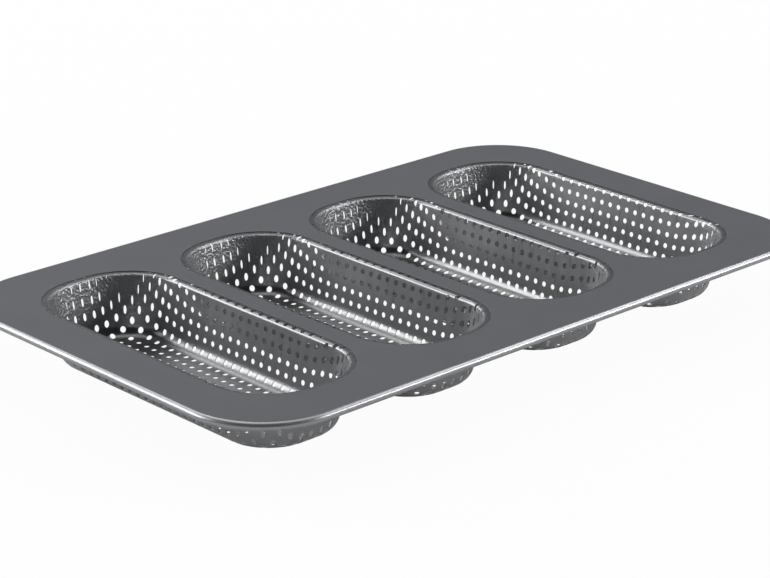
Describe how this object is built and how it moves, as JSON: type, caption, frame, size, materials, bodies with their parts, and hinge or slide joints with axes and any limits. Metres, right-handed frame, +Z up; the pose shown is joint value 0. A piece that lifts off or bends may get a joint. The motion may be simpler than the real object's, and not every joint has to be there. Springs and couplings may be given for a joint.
{
  "type": "baguette pan",
  "caption": "Flat rounded-rectangle baking pan with a rolled, wired rim and deep perforated round-ended troughs that shape and crisp short baguettes.",
  "frame": {"origin": "under the middle of the pan, on the surface that the trough floors stand on", "axes": "+X along the row of troughs, +Y along each trough, +Z up out of the troughs"},
  "size_m": [0.384, 0.234, 0.0316],
  "materials": {
    "deck_coating": "satin dark grey non-stick coating on steel",
    "mould_coating": "semi-gloss dark grey non-stick coating on perforated steel",
    "rim_wire": "plain drawn steel wire"
  },
  "bodies": {
    "root": {"deck_sheet": "deck_coating", "rim_wire": "rim_wire", "mould_1": "mould_coating", "mould_2": "mould_coating", "mould_3": "mould_coating", "mould_4": "mould_coating"}
  },
  "joints": []
}
